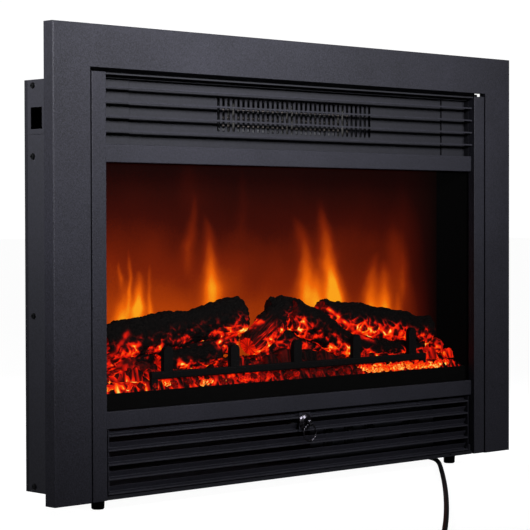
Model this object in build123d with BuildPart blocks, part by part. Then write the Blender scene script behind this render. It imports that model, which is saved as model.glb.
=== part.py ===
from build123d import *
from math import cos, pi, radians, sin, tan
import os

# Electric fireplace insert: a folded steel casing on rubber feet behind a three-sided surround,
# with a fan heater above the firebox window and a louvred control door below it.
# Millimetres. X to the right, Y to the back, Z up; origin on the floor under the middle.

os.makedirs("parts", exist_ok=True)

# ---------------------------------------------------------------- driving dimensions
overall_width = 724.0
surround_height = 493.8
ground_gap = 12.4  # floor to the surround's lower edge
body_depth = 110.0  # surround's front face to the back of the rear cover
pull_reach = 6.0  # how far the ring pull stands in front of the surround
sheet = 1.0
touch = 0.1  # gap left between parts that lie side by side

side_member = 47.7  # width of the surround's uprights
top_member = 44.4
return_depth = 15.6  # the surround's folded outer edge
casing_inset = 46.0  # casing side, in from the surround's outer edge
casing_top = ground_gap + 441.0
casing_bottom = ground_gap + 2.0
trim_inset = 49.7
trim_width = 19.0
trim_depth = 9.4
trim_top = ground_gap + 445.0

louvre_pitch = 15.15
window_bottom = ground_gap + 92.2
window_top = ground_gap + 352.0
middle_bar_top = ground_gap + 370.9
lower_bar_bottom = ground_gap + 73.9
bar_setback = 5.0

# ---------------------------------------------------------------- derived places
half_width = overall_width / 2
face_y = -(body_depth - pull_reach) / 2
rear_y = face_y + body_depth
casing_half = half_width - casing_inset
trim_outer = half_width - trim_inset
trim_inner = trim_outer - trim_width
surround_top = ground_gap + surround_height
glass_y = face_y + trim_depth + touch
glass_thickness = 3.0
liner_front = glass_y + glass_thickness + touch
liner_half = trim_inner - 1.3
screen_y = face_y + 61.1
casing_rear = rear_y - 5.5  # the side walls stop here and the rear cover begins


def upright(y):
    """Vertical plane at y: local x to the right, local y up, its normal to the front."""
    return Plane(origin=(0, y, 0), x_dir=(1, 0, 0), z_dir=(0, -1, 0))


def section(x):
    """Vertical plane at x: local x to the back, local y up, its normal to the right."""
    return Plane(origin=(x, 0, 0), x_dir=(0, 1, 0), z_dir=(1, 0, 0))


def block(x, y, z, mode=Mode.ADD):
    """Box between three (low, high) pairs, in the part being built."""
    middle = [(low + high) / 2 for low, high in (x, y, z)]
    with Locations(tuple(middle)):
        Box(x[1] - x[0], y[1] - y[0], z[1] - z[0], mode=mode)


def rod(start, direction, radius, length, mode=Mode.ADD):
    """Cylinder from a start point along a direction, in the part being built."""
    with Locations(Plane(origin=start, z_dir=direction).location):
        Cylinder(radius, length, align=(Align.CENTER, Align.CENTER, Align.MIN), mode=mode)


def save(piece, name):
    piece.label = name
    export_step(piece, f"parts/{name}.step")


# ================================================================ surround and front trim
surround_sheet = 1.2
inner_lip = 9.2

with BuildPart() as surround_frame:
    block((-half_width, half_width), (face_y, face_y + return_depth), (ground_gap, surround_top))
    front_edges = surround_frame.faces().sort_by(Axis.Y)[0].edges()
    fillet(front_edges.sort_by(Axis.Z)[1:], radius=surround_sheet)
    block(
        (-half_width + surround_sheet, half_width - surround_sheet),
        (face_y + surround_sheet, rear_y),
        (0, surround_top - surround_sheet),
        mode=Mode.SUBTRACT,
    )
    lip_half = half_width - side_member + surround_sheet
    top_lip = surround_top - top_member + surround_sheet
    block((-lip_half, lip_half), (face_y, face_y + inner_lip), (ground_gap, top_lip))
    opening_half = half_width - side_member
    block(
        (-opening_half, opening_half),
        (face_y - 1, face_y + inner_lip + 1),
        (0, surround_top - top_member),
        mode=Mode.SUBTRACT,
    )
save(surround_frame.part, "surround_frame")

bracket_heights = (70.0, 245.0, 420.0)
with BuildPart() as frame_brackets:
    for side in (-1, 1):
        outside = casing_half + surround_sheet
        for height in bracket_heights:
            foot_x = sorted((side * (outside + 24), side * casing_half))
            leg_x = sorted((side * outside, side * casing_half))
            block(foot_x, (face_y + surround_sheet, face_y + 2 * surround_sheet), (height, height + 30))
            block(leg_x, (face_y + 2 * surround_sheet, face_y + 34), (height, height + 30))
save(frame_brackets.part, "frame_brackets")


def trim_channel(side):
    """Upright U channel beside the window, open to the back."""
    low, high = sorted((side * trim_inner, side * trim_outer))
    with BuildPart() as channel:
        block((low, high), (face_y, face_y + trim_depth), (ground_gap + 0.6, trim_top))
        fillet(channel.faces().sort_by(Axis.Y)[0].edges().filter_by(Axis.Z), radius=0.9)
        block(
            (low + sheet, high - sheet),
            (face_y + sheet, rear_y),
            (0, trim_top - sheet),
            mode=Mode.SUBTRACT,
        )
    return channel.part


save(trim_channel(-1), "trim_channel_left")
save(trim_channel(1), "trim_channel_right")


def cross_bar(bottom, top):
    """C channel between the trim channels, in front of the glass and open to the back."""
    bar_half = trim_inner - touch
    with BuildPart() as bar:
        block((-bar_half, bar_half), (face_y + bar_setback, face_y + trim_depth), (bottom, top))
        fillet(bar.faces().sort_by(Axis.Y)[0].edges().filter_by(Axis.X), radius=0.9)
        block(
            (-bar_half + sheet, bar_half - sheet),
            (face_y + bar_setback + sheet, rear_y),
            (bottom + sheet, top - sheet),
            mode=Mode.SUBTRACT,
        )
    return bar.part


save(cross_bar(window_top, middle_bar_top), "middle_bar")
save(cross_bar(lower_bar_bottom, window_bottom), "lower_bar")

# ================================================================ upper outlet grille
cheek_half = trim_inner - sheet - touch
blade_nose = 1.8
blade_front = face_y + 3.0
blade_depth = 8.5
blade_heights = [ground_gap + 385.0 + louvre_pitch * step for step in range(4)]
outlet_y = face_y + 17.0
outlet_half = 248.5
recess_ceiling = casing_top - sheet

with BuildPart() as grille_blades:
    for height in blade_heights:
        blade_x = (-cheek_half, cheek_half)
        nose_z = (height - blade_nose / 2, height + blade_nose / 2)
        block(blade_x, (blade_front, blade_front + 2.4), nose_z)
        block(blade_x, (blade_front + 2.4, blade_front + blade_depth), (height - 0.4, height + 0.4))
save(grille_blades.part, "grille_blades")

# ---- header over the grille, its flange closing the slit behind the surround's upper edge
header_sheet = 1.5
header_top = ground_gap + 444.4
flange_left = 312.0
flange_right = 310.7
flange_top = ground_gap + 456.0
corner_right = 315.8  # lower end of the flange, beside the right trim channel
corner_top = ground_gap + 448.9
with BuildPart() as top_header:
    header_half = trim_inner - touch
    flange_y = (face_y + 14.5, face_y + 14.5 + header_sheet)
    header_z = (header_top - header_sheet, header_top)
    block((-header_half, header_half), (face_y + 2, flange_y[1]), header_z)
    block((-flange_left, flange_right), flange_y, (casing_top, flange_top))
    block((flange_right, corner_right), flange_y, (casing_top, corner_top))
save(top_header.part, "top_header")

slot_width = 3.9
slot_height = 37.6
slot_pitch = 7.56
slot_count = 33
slot_middle = ground_gap + 408.0

with BuildPart() as outlet_panel:
    with BuildSketch(upright(outlet_y)):
        with Locations((0, (middle_bar_top + recess_ceiling) / 2)):
            Rectangle(2 * outlet_half, recess_ceiling - middle_bar_top - 2 * touch)
        with Locations((0, slot_middle)):
            with GridLocations(slot_pitch, slot_pitch, slot_count, 1):
                SlotOverall(slot_height, slot_width, rotation=90, mode=Mode.SUBTRACT)
    extrude(amount=-sheet)
save(outlet_panel.part, "outlet_panel")

cheek_joint = 1.2  # open joint between each cheek's return and the slotted panel
cheek_lap = 0.2  # the returns stand this far in front of the panel
with BuildPart() as outlet_cheeks:
    for side in (-1, 1):
        wall_x = sorted((side * (trim_inner - touch), side * (trim_inner - touch - sheet)))
        back_x = sorted((side * (trim_inner - touch - sheet), side * (outlet_half + cheek_joint)))
        cheek_z = (middle_bar_top + touch, recess_ceiling - touch)
        block(wall_x, (glass_y, outlet_y + sheet), cheek_z)
        block(back_x, (outlet_y - cheek_lap - sheet, outlet_y - cheek_lap), cheek_z)
save(outlet_cheeks.part, "outlet_cheeks")

# ================================================================ casing
handhole_y = (face_y + 78.5, face_y + 98.0)
handhole_z = (ground_gap + 388.5, ground_gap + 411.5)
screw_y = face_y + 95.2
screw_heights = [ground_gap + h for h in (8.0, 190.0, 359.5, 434.8)]
screw_radius = 1.6
plate_joint = 0.06  # hairline between the plates of a casing side


def side_wall(side):
    """Casing side with a folded front flange, in four plates that meet round its hand hole."""
    outer = side * casing_half
    inner = side * (casing_half - sheet)
    with BuildPart() as wall:
        block(sorted((outer, inner)), (glass_y, casing_rear), (casing_bottom, casing_top))
        block(
            sorted((outer, side * (casing_half - 15))),
            (glass_y, glass_y + sheet),
            (casing_bottom, casing_top),
        )
        block(
            sorted((outer, side * (casing_half + 0.6))),
            (handhole_y[0] - 6.0, handhole_y[1] + 3.5),
            (handhole_z[0] - 5.5, handhole_z[1] + 5.0),
        )
        block(
            sorted((side * (casing_half + 3), side * (casing_half - 3))),
            handhole_y,
            handhole_z,
            mode=Mode.SUBTRACT,
        )
        for edge in handhole_z:
            block(
                sorted((side * (casing_half + 3), side * (casing_half - 20))),
                (glass_y - 1, casing_rear + 1),
                (edge - plate_joint / 2, edge + plate_joint / 2),
                mode=Mode.SUBTRACT,
            )
        for height in screw_heights:
            hole_start = (side * (casing_half - 3), screw_y, height)
            rod(hole_start, (side, 0, 0), screw_radius, 6, Mode.SUBTRACT)
    return wall.part


save(side_wall(-1), "side_wall_left")
save(side_wall(1), "side_wall_right")

inside_half = casing_half - sheet - touch
with BuildPart() as top_panel:
    block((-inside_half, inside_half), (face_y + 11, casing_rear), (casing_top - sheet, casing_top))
    hem_half = inside_half - 5
    hem_z = (casing_top - 9, casing_top - sheet)
    block((-hem_half, hem_half), (casing_rear - 2, casing_rear - 1), hem_z)
save(top_panel.part, "top_panel")

lip_z = (ground_gap + 0.3, ground_gap + 4.3)
lip_y = (face_y + 3.5, face_y + 5.0)
foot_x = 281.5
foot_rows = (face_y + 31.0, face_y + 88.0)
with BuildPart() as base_plate:
    plate_z = (casing_bottom, casing_bottom + sheet)
    block((-inside_half, inside_half), (glass_y + sheet + touch, casing_rear), plate_z)
    front_half = trim_inner - touch
    block((-front_half, front_half), (lip_y[0], glass_y + 2), plate_z)
    block((-front_half + 1, front_half - 1), lip_y, lip_z)
    notch_z = (lip_z[0] + 1.4, lip_z[0] + 3.0)
    block((250.4, 253.4), (lip_y[0] - 1, lip_y[1] + 1), notch_z, mode=Mode.SUBTRACT)
save(base_plate.part, "base_plate")

rim = 2.1
tab_front = screw_y - 3.6
tab_rear = casing_rear + 4.0
vent_rows = (ground_gap + 398.0, ground_gap + 432.0)
gland_x = 288.0
gland_z = 84.0
gland_radius = 5.0
with BuildPart() as rear_cover:
    block((-casing_half, casing_half), (casing_rear + touch, rear_y), (casing_bottom, casing_top))
    block(
        (-casing_half + rim, casing_half - rim),
        (casing_rear, rear_y - sheet),
        (casing_bottom + rim, casing_top - rim),
        mode=Mode.SUBTRACT,
    )
    # the screw tabs are separate strips on the inside of the rim
    for side in (-1, 1):
        tab_outer = casing_half - rim - touch
        tab_x = sorted((side * tab_outer, side * (tab_outer - sheet)))
        for height in screw_heights:
            tab_z = (max(height - 9, casing_bottom + 3.3), min(height + 9, casing_top - 3.3))
            block(tab_x, (tab_front, tab_rear), tab_z)
            hole_start = (side * (casing_half - 6), screw_y, height)
            rod(hole_start, (side, 0, 0), screw_radius, 8, Mode.SUBTRACT)
    for height in vent_rows:
        with Locations(upright(rear_y - 2 * sheet).location * Location((0, height - 16, 0))):
            with GridLocations(8.0, 8.0, 28, 1):
                Box(3.4, 22, 4 * sheet, mode=Mode.SUBTRACT)
    rod((gland_x, rear_y - 6, gland_z), (0, 1, 0), gland_radius, 12, Mode.SUBTRACT)
save(rear_cover.part, "rear_cover")

with BuildPart() as casing_screws:
    for side in (-1, 1):
        for height in screw_heights:
            shank_start = (side * (inside_half - touch - sheet - 3), screw_y, height)
            rod(shank_start, (side, 0, 0), screw_radius, 3 + 2 * sheet + 2 * touch)
            head_start = (side * casing_half, screw_y, height)
            with Locations(Plane(origin=head_start, z_dir=(side, 0, 0)).location):
                Cone(3.6, 2.4, 1.9, align=(Align.CENTER, Align.CENTER, Align.MIN))
            with Locations(Plane(origin=head_start, z_dir=(side, 0, 0)).offset(1.9).location):
                Box(0.8, 3.4, 2.0, mode=Mode.SUBTRACT)
                Box(3.4, 0.8, 2.0, mode=Mode.SUBTRACT)
save(casing_screws.part, "casing_screws")

foot_height = casing_bottom
with BuildPart() as feet:
    with BuildSketch(section(0)) as foot_profile:
        with BuildLine():
            Polyline(
                (0, 0), (5.8, 0), (6.9, 1.1), (7.5, foot_height - 1.2), (7.5, foot_height),
                (2.6, foot_height), (2.6, 5.0), (0, 5.0), close=True,
            )
        make_face()
    foot = revolve(foot_profile.sketch, axis=Axis.Z, mode=Mode.PRIVATE)
    for x in (-foot_x, foot_x):
        for y in foot_rows:
            add(foot.moved(Location((x, y, 0))))
save(feet.part, "feet")

# ================================================================ window and firebox
with BuildPart() as glass_pane:
    block((-300, 300), (glass_y, glass_y + glass_thickness), (ground_gap + 84, ground_gap + 361))
save(glass_pane.part, "glass_pane")

liner_bottom = window_bottom + 0.6
liner_top = window_top + 1.2
with BuildPart() as firebox_liner:
    block(
        (-liner_half - sheet, liner_half + sheet),
        (liner_front, screen_y - touch),
        (liner_bottom - sheet, liner_top + sheet),
    )
    block(
        (-liner_half, liner_half),
        (liner_front - 1, screen_y + 1),
        (liner_bottom, liner_top),
        mode=Mode.SUBTRACT,
    )
save(firebox_liner.part, "firebox_liner")

lip_top = ground_gap + 110.0
with BuildPart() as hearth_lip:
    lip_half = liner_half - touch
    lip_y_span = (liner_front + 0.4, liner_front + 1.9)
    block((-lip_half, lip_half), lip_y_span, (liner_bottom + touch, lip_top))
save(hearth_lip.part, "hearth_lip")

with BuildPart() as flame_screen:
    block((-300, 300), (screen_y, screen_y + 2.5), (liner_bottom - 4, liner_top + 4))
save(flame_screen.part, "flame_screen")

# ---- cast grate: a front bar on two end legs, with five upright prongs
grate_y = (liner_front + 2.4, liner_front + 6.8)
grate_bar_z = (ground_gap + 121.0, ground_gap + 129.6)
grate_half = 220.0
prong_pitch = 98.0
prong_tops = [ground_gap + h for h in (156.0, 154.0, 154.5, 157.0, 161.0)]
with BuildPart() as fire_grate:
    block((-grate_half, grate_half), grate_y, grate_bar_z)
    fillet(fire_grate.edges().filter_by(Axis.X), radius=1.9)
    for index, top in enumerate(prong_tops):
        x = (index - 2) * prong_pitch
        with BuildSketch(upright(grate_y[0] + 0.3)):
            with Locations((x, (grate_bar_z[0] + 1 + top) / 2)):
                SlotOverall(top - grate_bar_z[0] - 1, 13.0, rotation=90)
        extrude(amount=-5.4)
    for side in (-1, 1):
        leg_x = sorted((side * grate_half, side * (grate_half - 9)))
        block(leg_x, (grate_y[0] + 0.4, grate_y[1] - 0.4), (ground_gap + 108.0, grate_bar_z[1] - 2))
save(fire_grate.part, "fire_grate")

# ---- logs: each from one end to the other, with its depth radius and height radius at both ends
log_front = grate_y[1] + 1.4
log_plans = {
    "log_back_left": ((-270, 40.5, 157), (-64, 41.0, 184), (17.5, 24), (16.5, 22)),
    "log_back_right": ((62, 41.5, 182), (252, 40.5, 152), (16.5, 21), (16.0, 21)),
    "log_centre": ((-63, 31.0, 149), (10, 46.0, 190), (15.5, 16.5), (11.5, 20)),
    "log_front_right": ((14, 38.0, 178), (112, 33.0, 137), (14.0, 17), (11.5, 16)),
    "log_low_left": ((-197, 32.0, 137), (-108, 33.0, 142), (10.5, 14), (11.0, 14)),
    "log_low_right": ((110, 33.0, 138), (226, 32.5, 134), (11.0, 13), (10.5, 12)),
}


def log_shape(start, end, start_radii, end_radii):
    """Tapered oval bar between two points, given as x, depth behind the face, height over the lip."""
    first = Vector(start[0], face_y + start[1], ground_gap + start[2])
    last = Vector(end[0], face_y + end[1], ground_gap + end[2])
    along = (last - first).normalized()
    across = Vector(0, 0, 1).cross(along).normalized()
    with BuildPart() as bar:
        with BuildSketch(Plane(origin=first, x_dir=across, z_dir=along)):
            Ellipse(start_radii[0], start_radii[1])
        with BuildSketch(Plane(origin=last, x_dir=across, z_dir=along)):
            Ellipse(end_radii[0], end_radii[1])
        loft()
    return bar.part


def firebox_clear(part_being_cut):
    """Trims what would pass through the flame screen or the grate."""
    with BuildPart() as cut:
        add(part_being_cut)
        room = 400
        block((-room, room), (screen_y - 0.6, screen_y + room), (0, room * 2), mode=Mode.SUBTRACT)
        block((-room, room), (face_y - room, log_front), (0, room * 2), mode=Mode.SUBTRACT)
    return cut.part


placed_logs = []
for name, plan in log_plans.items():
    with BuildPart() as log:
        add(firebox_clear(log_shape(*plan)))
        for neighbour in placed_logs:
            add(neighbour, mode=Mode.SUBTRACT)
    placed_logs.append(log.part)
    save(log.part, name)

with BuildPart() as ember_bed:
    bed_half = liner_half - 1.2
    with BuildSketch(section(-bed_half)):
        with BuildLine():
            Polyline(
                (liner_front + 2.2, liner_bottom + touch),
                (screen_y - 0.4, liner_bottom + touch),
                (screen_y - 0.4, ground_gap + 140),
                (log_front + 14, ground_gap + 134),
                (log_front - 1, ground_gap + 124),
                (log_front - 1, ground_gap + 119),
                (liner_front + 2.2, ground_gap + 112),
                close=True,
            )
        make_face()
    extrude(amount=2 * bed_half)
    for side in (-1, 1):
        with BuildSketch(upright(face_y)):
            with BuildLine():
                Polyline(
                    (side * (bed_half + 1), ground_gap + 113),
                    (side * (bed_half - 62), ground_gap + 144),
                    (side * (bed_half + 1), ground_gap + 144),
                    close=True,
                )
            make_face()
        extrude(amount=-90, mode=Mode.SUBTRACT)
    for neighbour in placed_logs:
        add(neighbour, mode=Mode.SUBTRACT)
    cavity_z = (liner_bottom - 1, ground_gap + 104)
    block((-270, 270), (liner_front + 7, screen_y - 3), cavity_z, mode=Mode.SUBTRACT)
    add(fire_grate.part, mode=Mode.SUBTRACT)
save(ember_bed.part, "ember_bed")

# ================================================================ flame effect behind the screen
spindle_y = face_y + 84.0
spindle_z = ground_gap + 112.0
spindle_radius = 1.5
bracket_x = 258.0
running_gap = 0.05

with BuildPart() as flame_stencil:
    stencil_y = screen_y + 5.0
    with BuildSketch(upright(stencil_y)):
        with Locations((0, ground_gap + 222)):
            Rectangle(590, 250)
        for index in range(9):
            cut_x = (index - 4) * 62.0
            cut_top = ground_gap + 270 + 45 * sin(2.3 * index)
            cut_low = ground_gap + 128
            for bulge in (-13, 13):
                widest = (cut_x + bulge, (cut_low * 2 + cut_top) / 3)
                with BuildLine():
                    ThreePointArc((cut_x, cut_low), widest, (cut_x, cut_top))
                    Line((cut_x, cut_top), (cut_x, cut_low))
                make_face(mode=Mode.SUBTRACT)
    extrude(amount=-0.8)
    block((-295, 295), (stencil_y, stencil_y + 5), (ground_gap + 96, ground_gap + 97))
save(flame_stencil.part, "flame_stencil")

with BuildPart() as spindle_shaft:
    rod((-bracket_x - 5, spindle_y, spindle_z), (1, 0, 0), spindle_radius, 2 * bracket_x + 14)
save(spindle_shaft.part, "spindle_shaft")

petal_stars = 10
star_pitch = 50.0
with BuildPart() as petal_star:
    with BuildSketch(section(-4)):
        Circle(4.0)
        Circle(spindle_radius, mode=Mode.SUBTRACT)
    extrude(amount=8)
    for turn in range(4):
        radial = Plane.XY.rotated((90 * turn, 0, 0))
        with Locations(radial.location * Location((0, 0, 8.4), (0, 0, 32))):
            Box(26, 0.6, 10)
with BuildPart() as spindle_petals:
    for index in range(petal_stars):
        x = (index - (petal_stars - 1) / 2) * star_pitch
        add(petal_star.part.moved(Location((x, spindle_y, spindle_z), (27 * index, 0, 0))))
save(spindle_petals.part, "spindle_petals")

bush_radius = 4.5
with BuildPart() as spindle_bushes:
    for side in (-1, 1):
        with BuildSketch(section(side * (bracket_x + 1) - (5 if side > 0 else 0))):
            with Locations((spindle_y, spindle_z)):
                Circle(bush_radius)
                Circle(spindle_radius + running_gap, mode=Mode.SUBTRACT)
        extrude(amount=5)
save(spindle_bushes.part, "spindle_bushes")

floor_z = casing_bottom + sheet + touch
with BuildPart() as spindle_brackets:
    for side in (-1, 1):
        plate_x = sorted((side * bracket_x, side * (bracket_x + 1)))
        foot_strip = sorted((side * bracket_x, side * (bracket_x + 16)))
        block(plate_x, (spindle_y - 12, spindle_y + 14), (floor_z, spindle_z + 14))
        block(foot_strip, (spindle_y - 12, spindle_y + 14), (floor_z, floor_z + 1))
        rod((plate_x[0] - 1, spindle_y, spindle_z), (1, 0, 0), bush_radius, 4, Mode.SUBTRACT)
save(spindle_brackets.part, "spindle_brackets")

with BuildPart() as spindle_motor:
    rod((bracket_x + 1 + touch, spindle_y, spindle_z), (1, 0, 0), 13.5, 17)
    motor_x = (bracket_x + 1 + touch, bracket_x + 3)
    block(motor_x, (spindle_y - 3, spindle_y + 3), (spindle_z - 18, spindle_z + 18))
    connector_z = (spindle_z - 17, spindle_z - 12)
    block((bracket_x + 6, bracket_x + 16), (spindle_y - 6, spindle_y + 6), connector_z)
    rod((bracket_x, spindle_y, spindle_z), (1, 0, 0), spindle_radius + running_gap, 12, Mode.SUBTRACT)
save(spindle_motor.part, "spindle_motor")


def led_strip(y, z, reach):
    """Circuit strip lying flat, with a row of domed lamps on top."""
    block((-reach, reach), (y - 5, y + 5), (z, z + 1.6))
    for index in range(16):
        x = (index - 7.5) * 32.0
        with Locations((x, y, z + 1.6)):
            Cylinder(2.4, 1.6, align=(Align.CENTER, Align.CENTER, Align.MIN))
        with Locations((x, y, z + 3.2)):
            Sphere(2.4, arc_size1=0)


with BuildPart() as led_boards:
    led_strip(spindle_y, ground_gap + 86.0, bracket_x - touch)
    led_strip(face_y + 40.0, liner_bottom + touch, 256.0)
save(led_boards.part, "led_boards")

# ================================================================ fan heater above the firebox
shelf_z = (ground_gap + 369.4, ground_gap + 370.4)
with BuildPart() as heater_shelf:
    block((-inside_half, inside_half), (glass_y + 2.1, casing_rear - touch), shelf_z)
    block((-300, 300), (glass_y + touch, glass_y + 2.2), shelf_z)
save(heater_shelf.part, "heater_shelf")

fan_y = face_y + 66.0
fan_z = ground_gap + 405.0
fan_radius = 20.0
fan_half = 115.0
fan_shaft = 2.5
scroll_radius = 24.0
duct_front = outlet_y + sheet + 3.0
end_plate = 3.0

with BuildPart() as blower_housing:
    with BuildSketch(section(-fan_half - end_plate)):
        with Locations((fan_y, fan_z)):
            Circle(scroll_radius + sheet)
            Circle(scroll_radius, mode=Mode.SUBTRACT)
        with BuildLine():
            Polyline(
                (fan_y, fan_z), (fan_y + 60, fan_z + 40), (fan_y - 60, fan_z + 90),
                (fan_y - 60, fan_z - 60), (fan_y, fan_z - 60), close=True,
            )
        make_face(mode=Mode.SUBTRACT)
        with Locations(((duct_front + fan_y) / 2, fan_z - scroll_radius - sheet / 2)):
            Rectangle(fan_y - duct_front, sheet)
        with BuildLine():
            Polyline(
                (duct_front, fan_z + 27), (duct_front, fan_z + 28),
                (fan_y - 17, fan_z + 18.6), (fan_y - 17, fan_z + 17.6), close=True,
            )
        make_face()
    extrude(amount=2 * (fan_half + end_plate))
    for side in (-1, 1):
        plate_x = sorted((side * (fan_half + 2), side * (fan_half + end_plate)))
        block(plate_x, (duct_front, fan_y + scroll_radius + sheet), (shelf_z[1] + touch, fan_z + 29))
        rod((side * (fan_half + 2), fan_y, fan_z), (side, 0, 0), 6.0, 5.0)
        bore_start = (side * (fan_half - 1), fan_y, fan_z)
        rod(bore_start, (side, 0, 0), fan_shaft + running_gap, 12, Mode.SUBTRACT)
save(blower_housing.part, "blower_housing")

with BuildPart() as blower_impeller:
    with BuildSketch(section(-fan_half)):
        with Locations((fan_y, fan_z)):
            with PolarLocations(fan_radius - 3.6, 20):
                Rectangle(7.0, 0.8, rotation=38)
    extrude(amount=2 * fan_half)
    for x in (-fan_half, -0.5, fan_half - 1):
        rod((x, fan_y, fan_z), (1, 0, 0), fan_radius + 0.3, 1.0)
    rod((-fan_half - 8, fan_y, fan_z), (1, 0, 0), fan_shaft, 2 * fan_half + 42)
save(blower_impeller.part, "blower_impeller")

stack_x = (fan_half + 10.0, fan_half + 26.0)
with BuildPart() as blower_motor:
    block(stack_x, (fan_y - 18, fan_y + 18), (fan_z - 20, fan_z + 14))
    fillet(blower_motor.edges().filter_by(Axis.X), radius=3)
    rod((stack_x[0] - 1.5, fan_y, fan_z - 13), (1, 0, 0), 8.5, 19)
    rod((stack_x[1], fan_y, fan_z), (1, 0, 0), 7.0, 6)
    for dy in (-14, 14):
        rod((fan_half + end_plate + touch, fan_y + dy, fan_z + 9), (1, 0, 0), 2.0, 8)
    rod((fan_half, fan_y, fan_z), (1, 0, 0), fan_shaft + running_gap, 60, Mode.SUBTRACT)
save(blower_motor.part, "blower_motor")

coil_y = face_y + 33.0
coil_rows = [fan_z - 17 + 9 * row for row in range(4)]
coil_half = 104.0
wire_radius = 1.3
with BuildPart() as heating_coil:
    turns = []
    for row, height in enumerate(coil_rows):
        ends = (-coil_half, coil_half) if row % 2 == 0 else (coil_half, -coil_half)
        turns += [(ends[0], coil_y, height), (ends[1], coil_y, height)]
    with BuildLine() as coil_path:
        FilletPolyline(*turns, radius=4.2)
    with BuildSketch(Plane(origin=turns[0], z_dir=(1, 0, 0))):
        Circle(wire_radius)
    sweep(path=coil_path.line)
save(heating_coil.part, "heating_coil")

with BuildPart() as mica_plates:
    for x in (-88.0, 0.0, 88.0):
        block((x - 0.5, x + 0.5), (coil_y - 8, coil_y + 8), (fan_z - scroll_radius + touch, fan_z + 17))
        for height in coil_rows:
            rod((x - 2, coil_y, height), (1, 0, 0), wire_radius, 4, Mode.SUBTRACT)
save(mica_plates.part, "mica_plates")

with BuildPart() as thermal_cutout:
    cutout_at = (-fan_half - end_plate - touch, coil_y + 4, fan_z - 4)
    rod(cutout_at, (-1, 0, 0), 7.5, 5)
    rod(cutout_at, (-1, 0, 0), 4.0, 8)
save(thermal_cutout.part, "thermal_cutout")

# ================================================================ controls behind the door
panel_y = face_y + 32.0
panel_x = (36.0, 252.0)
control_z = ground_gap + 38.0
rocker_xs = (66.0, 101.0, 136.0)
knob_x = 206.0
pivot_back = 1.5  # rocker pivot behind the panel's face
rocker_tilt = 10.0
key_width = 10.8
trunnion = 1.2

with BuildPart() as control_panel:
    block(panel_x, (panel_y, panel_y + 1.2), (floor_z, ground_gap + 72))
    block(panel_x, (panel_y + 1.2, panel_y + 30), (floor_z, floor_z + 1.2))
    block(panel_x, (panel_y + 1.2, panel_y + 14), (ground_gap + 70.8, ground_gap + 72))
    for x in rocker_xs:
        cut_z = (control_z - 10.4, control_z + 10.4)
        block((x - 6.6, x + 6.6), (panel_y - 1, panel_y + 3), cut_z, Mode.SUBTRACT)
    rod((knob_x, panel_y - 1, control_z), (0, 1, 0), 4.5, 4, Mode.SUBTRACT)
save(control_panel.part, "control_panel")

with BuildPart() as rocker_housings:
    for x in rocker_xs:
        bezel_z = (control_z - 11.6, control_z + 11.6)
        cavity_z = (control_z - 9.3, control_z + 9.3)
        block((x - 7.6, x + 7.6), (panel_y - 1.9, panel_y - touch), bezel_z)
        block((x - 6.5, x + 6.5), (panel_y - touch, panel_y + 16), (control_z - 10.3, control_z + 10.3))
        block((x - 5.6, x + 5.6), (panel_y - 3, panel_y + 10), cavity_z, Mode.SUBTRACT)
        socket_start = (x - 6.2, panel_y + pivot_back, control_z)
        rod(socket_start, (1, 0, 0), trunnion + running_gap, 12.4, Mode.SUBTRACT)
save(rocker_housings.part, "rocker_housings")

for number, x in enumerate(rocker_xs, start=1):
    lean = radians(rocker_tilt)
    key_plane = Plane(
        origin=(x - key_width / 2, panel_y + pivot_back, control_z),
        x_dir=(0, cos(lean), sin(lean)),
        z_dir=(1, 0, 0),
    )
    with BuildPart() as rocker_key:
        with BuildSketch(key_plane):
            with BuildLine():
                Polyline(
                    (-3.3, 0), (-5.0, 8.1), (1.5, 7.0), (2.6, 0), (1.5, -7.0), (-5.0, -8.1), close=True
                )
            make_face()
        extrude(amount=key_width)
        rod((x - 6.0, panel_y + pivot_back, control_z), (1, 0, 0), trunnion, 12.0)
    save(rocker_key.part, f"rocker_key_{number}")

knob_front = panel_y - 11.0
shaft_radius = 3.0
with BuildPart() as thermostat_knob:
    rod((knob_x, knob_front, control_z), (0, 1, 0), 13.0, 10.4)
    fillet(thermostat_knob.faces().sort_by(Axis.Y)[0].edges(), radius=1.0)
    with Locations(upright(knob_front).location * Location((knob_x, control_z, 0))):
        with PolarLocations(13.6, 18):
            Cylinder(1.1, 40, mode=Mode.SUBTRACT)
    pointer_y = (knob_front - 0.6, knob_front + 0.4)
    block((knob_x - 0.7, knob_x + 0.7), pointer_y, (control_z + 3, control_z + 11.4))
    rod((knob_x, knob_front + 2.0, control_z), (0, 1, 0), shaft_radius + running_gap, 12, Mode.SUBTRACT)
save(thermostat_knob.part, "thermostat_knob")

board_y = panel_y + 12.0
with BuildPart() as control_board:
    block((knob_x - 36, knob_x + 42), (board_y, board_y + 1.6), (ground_gap + 8, ground_gap + 68))
    rod((knob_x, panel_y + 1.6, control_z), (0, 1, 0), 8.0, board_y - panel_y - 1.5)
    rod((knob_x, knob_front + 2.6, control_z), (0, 1, 0), shaft_radius, 14)
    for dx, dz in ((-30, -24), (36, -24), (-30, 24), (36, 24)):
        start = (knob_x + dx, panel_y + 1.2 + touch, control_z + dz)
        rod(start, (0, 1, 0), 2.2, board_y - panel_y - 1.2)
    block((knob_x - 30, knob_x - 14), (board_y + 1.5, board_y + 16), (control_z - 18, control_z + 10))
    block((knob_x - 10, knob_x + 6), (board_y + 1.5, board_y + 16), (control_z - 18, control_z + 10))
    rod((knob_x + 24, board_y + 1.5, control_z - 12), (0, 1, 0), 6.0, 20)
    block((knob_x - 30, knob_x + 36), (board_y + 1.5, board_y + 11), (control_z + 16, control_z + 26))
save(control_board.part, "control_board")

# ================================================================ control door
door_half = 288.0
hinge_y = face_y + 8.2
hinge_z = ground_gap + 8.2
pin_radius = 1.6
louvre_noses = [ground_gap + 6.5 + louvre_pitch * step for step in range(5)]
nose_y = face_y + 5.5
door_top = ground_gap + 73.0

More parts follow.
